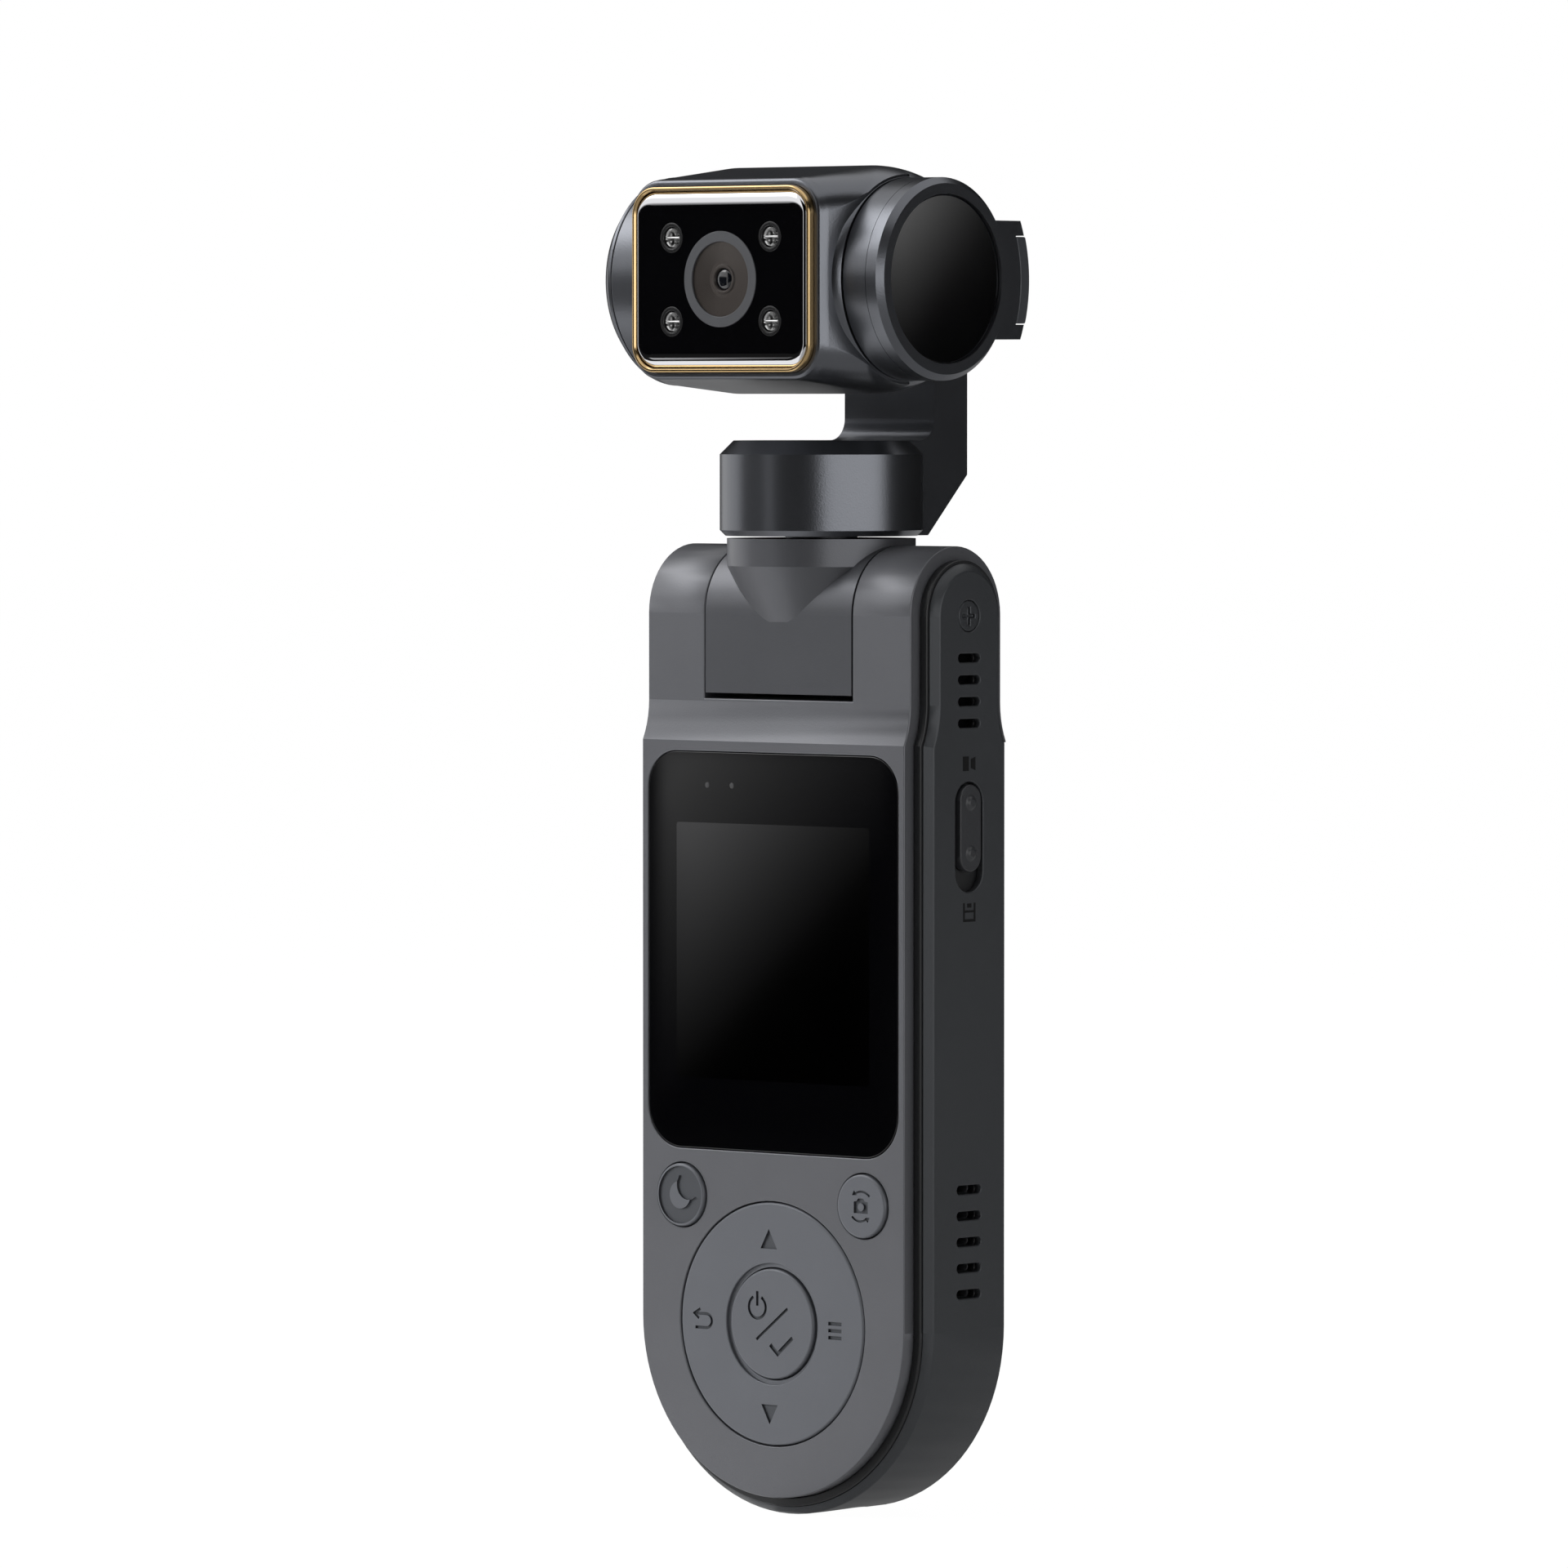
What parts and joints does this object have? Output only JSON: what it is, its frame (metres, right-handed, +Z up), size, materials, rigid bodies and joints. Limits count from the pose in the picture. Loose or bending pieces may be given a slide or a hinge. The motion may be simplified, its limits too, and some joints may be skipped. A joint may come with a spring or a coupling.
{
  "type": "body camera",
  "caption": "Pocket body camera: a flat handle with screen, round keys and side slider under a folding neck, and a square-faced lens head on a three-axis gimbal.",
  "frame": {"origin": "centre of the tripod thread's mouth in the bottom of the handle", "axes": "+Z up along the handle, -Y out of the screen and keys, +X to the side of the slider"},
  "size_m": [0.0355, 0.0309, 0.123],
  "materials": {
    "shell_grey": "fine satin moulding",
    "knuckle_grey": "satin",
    "frame_black": "satin",
    "trim_dark": "satin, bevelled edge",
    "key_grey": "satin",
    "slider_black": "satin",
    "gimbal_grey": "fine metallic satin",
    "arm_grey": "fine metallic satin",
    "disc_black": "polished",
    "cover_glass": "polished, printed black behind",
    "gold_trim": "polished bevel",
    "insert_brass": "turned",
    "steel": "satin",
    "screw_dark": "blackened",
    "board_green": "solder mask",
    "motor_copper": "wound core",
    "magnet_grey": "plated",
    "cell_wrap": "foil",
    "module_black": "matt",
    "panel_dark": "gloss",
    "lens_ring_grey": "fine satin",
    "hood_black": "matt",
    "lens_glass": "coated",
    "light_clear": "clear over a reflector"
  },
  "bodies": {
    "handle": {"front_shell": "shell_grey", "rear_cover": "shell_grey", "side_frame": "frame_black", "side_trim": "trim_dark", "rear_screws": "screw_dark", "tripod_insert": "insert_brass", "display_glass": "cover_glass", "display_panel": "panel_dark", "key_board": "board_green", "tact_switches": "steel", "main_board": "board_green", "battery": "cell_wrap", "speaker": "module_black", "microphone": "module_black", "slide_switch": "module_black", "usb_port": "steel", "card_reader": "steel", "friction_washers": "steel", "hinge_screws": "screw_dark"},
    "nav_key": {"nav_ring": "key_grey"},
    "ok_key": {"ok_button": "key_grey"},
    "night_key": {"night_button": "key_grey"},
    "flip_key": {"flip_button": "key_grey"},
    "mode_switch": {"mode_slider": "slider_black"},
    "neck": {"hinge_block": "knuckle_grey", "pan_bearings": "steel", "pan_stator": "motor_copper"},
    "pan_frame": {"pan_arm": "arm_grey", "pan_magnets": "magnet_grey", "pan_shaft": "steel", "roll_stator": "motor_copper", "roll_bearing": "steel", "roll_cap": "frame_black"},
    "roll_frame": {"roll_arm": "arm_grey", "roll_arm_cover": "arm_grey", "roll_shaft": "steel", "roll_rotor": "magnet_grey", "tilt_bearing": "steel", "tilt_stator": "motor_copper", "tilt_cover": "gimbal_grey", "tilt_disc": "disc_black"},
    "camera_head": {"head_shell": "gimbal_grey", "head_end_cap": "arm_grey", "tilt_shaft": "steel", "tilt_rotor": "magnet_grey", "face_trim": "gold_trim", "face_glass": "cover_glass", "lens_ring": "lens_ring_grey", "lens_hood": "hood_black", "lens_barrel": "module_black", "lens_elements": "lens_glass", "sensor_board": "board_green", "light_board": "board_green", "night_lights": "light_clear"}
  },
  "joints": [
    {"name": "neck_hinge", "type": "hinge", "parent": "handle", "child": "neck", "pos_m": [0, 0, 0.08163], "axis": [-1, 0, 0], "range_deg": [0, 90]},
    {"name": "pan", "type": "hinge", "parent": "neck", "child": "pan_frame", "pos_m": [0, -0.0003, 0.09745], "axis": [0, 0, 1], "range_deg": [-150, 150]},
    {"name": "roll", "type": "hinge", "parent": "pan_frame", "child": "roll_frame", "pos_m": [0, 0.012, 0.11206], "axis": [0, 1, 0], "range_deg": [-18, 18]},
    {"name": "tilt", "type": "hinge", "parent": "roll_frame", "child": "camera_head", "pos_m": [0.012, -0.0026, 0.11206], "axis": [-1, 0, 0], "range_deg": [-25, 60]},
    {"name": "nav_rock", "type": "hinge", "parent": "handle", "child": "nav_key", "pos_m": [0, -0.0051, 0.01692], "axis": [1, 0, 0], "range_deg": [-1, 1], "stiffness_Nm_per_rad": 0.5},
    {"name": "ok_press", "type": "slide", "parent": "handle", "child": "ok_key", "axis": [0, 1, 0], "range_m": [0, 0.00025], "stiffness_N_per_m": 900},
    {"name": "night_press", "type": "slide", "parent": "handle", "child": "night_key", "axis": [0, 1, 0], "range_m": [0, 0.00025], "stiffness_N_per_m": 900},
    {"name": "flip_press", "type": "slide", "parent": "handle", "child": "flip_key", "axis": [0, 1, 0], "range_m": [0, 0.00025], "stiffness_N_per_m": 900},
    {"name": "mode_slide", "type": "slide", "parent": "handle", "child": "mode_switch", "axis": [0, 0, -1], "range_m": [0, 0.0016]}
  ]
}
